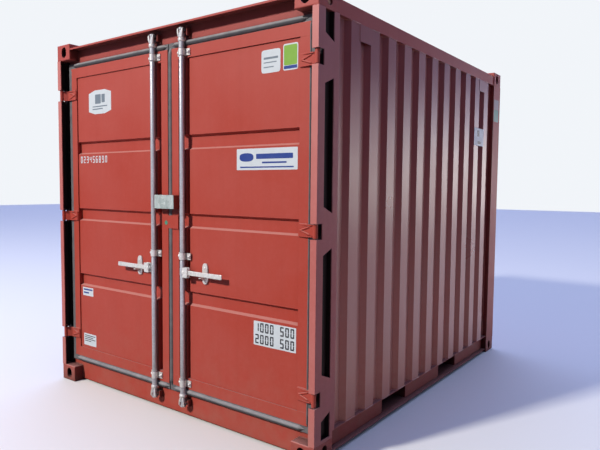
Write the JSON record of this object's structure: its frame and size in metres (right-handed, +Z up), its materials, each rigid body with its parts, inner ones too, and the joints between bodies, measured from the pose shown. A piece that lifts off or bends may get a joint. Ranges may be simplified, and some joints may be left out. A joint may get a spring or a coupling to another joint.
{
  "type": "shipping container",
  "caption": "Small steel shipping container with corrugated walls, a hollow cargo space and double doors with locking bars and handles that move.",
  "frame": {"origin": "on the ground under the middle of the outer box", "axes": "+X to the right seen from the door end, +Y from the doors to the rear wall, +Z up"},
  "size_m": [2.438, 2.991, 2.591],
  "materials": {
    "frame_paint": "satin",
    "door_paint": "satin",
    "wall_paint": "satin",
    "galvanised": "matte",
    "seal_rubber": "matte",
    "floor_wood": "matte"
  },
  "bodies": {
    "container": {"front_bottom_castings": "frame_paint", "rear_bottom_castings": "frame_paint", "front_top_castings": "frame_paint", "rear_top_castings": "frame_paint", "left_hinge_post": "frame_paint", "right_hinge_post": "frame_paint", "left_door_jamb": "frame_paint", "right_door_jamb": "frame_paint", "hinge_pins": "frame_paint", "left_rear_post": "frame_paint", "right_rear_post": "frame_paint", "door_header": "frame_paint", "door_sill": "frame_paint", "rear_top_rail": "frame_paint", "rear_bottom_rail": "frame_paint", "left_top_rail": "frame_paint", "right_top_rail": "frame_paint", "left_bottom_rail": "frame_paint", "right_bottom_rail": "frame_paint", "cross_members": "frame_paint", "fork_pockets": "frame_paint", "floor_panel": "floor_wood", "left_side_wall": "wall_paint", "right_side_wall": "wall_paint", "rear_wall": "wall_paint", "roof_panel": "wall_paint", "vent_covers": "wall_paint", "cam_keepers": "galvanised"},
    "left_door": {"left_door_frame": "door_paint", "left_door_panel": "door_paint", "left_door_seal": "seal_rubber", "left_door_hinges": "door_paint", "left_bar_brackets": "galvanised", "left_handle_retainer": "galvanised", "left_lock_box": "galvanised"},
    "right_door": {"right_door_frame": "door_paint", "right_door_panel": "door_paint", "right_door_seal": "seal_rubber", "right_door_hinges": "door_paint", "right_bar_brackets": "galvanised", "right_handle_retainer": "galvanised", "right_lock_box": "galvanised", "seam_cover": "door_paint"},
    "left_bar": {"left_locking_bar": "galvanised"},
    "right_bar": {"right_locking_bar": "galvanised"},
    "left_handle": {"left_handle": "galvanised"},
    "right_handle": {"right_handle": "galvanised"}
  },
  "joints": [
    {"name": "left_door_swing", "type": "hinge", "parent": "container", "child": "left_door", "pos_m": [-1.199, -1.4755, 1.2945], "axis": [0, 0, -1], "range_deg": [0, 265]},
    {"name": "right_door_swing", "type": "hinge", "parent": "container", "child": "right_door", "pos_m": [1.199, -1.4755, 1.2945], "axis": [0, 0, 1], "range_deg": [0, 265]},
    {"name": "left_bar_turn", "type": "hinge", "parent": "left_door", "child": "left_bar", "pos_m": [-0.142, -1.4615, 1.0775], "axis": [0, 0, -1], "range_deg": [-100, 0]},
    {"name": "right_bar_turn", "type": "hinge", "parent": "right_door", "child": "right_bar", "pos_m": [0.142, -1.4615, 1.0775], "axis": [0, 0, 1], "range_deg": [-100, 0]},
    {"name": "left_handle_lift", "type": "hinge", "parent": "left_bar", "child": "left_handle", "pos_m": [-0.174, -1.478, 0.9775], "axis": [0, 1, 0], "range_deg": [0, 25]},
    {"name": "right_handle_lift", "type": "hinge", "parent": "right_bar", "child": "right_handle", "pos_m": [0.174, -1.478, 0.9775], "axis": [0, -1, 0], "range_deg": [0, 25]}
  ]
}
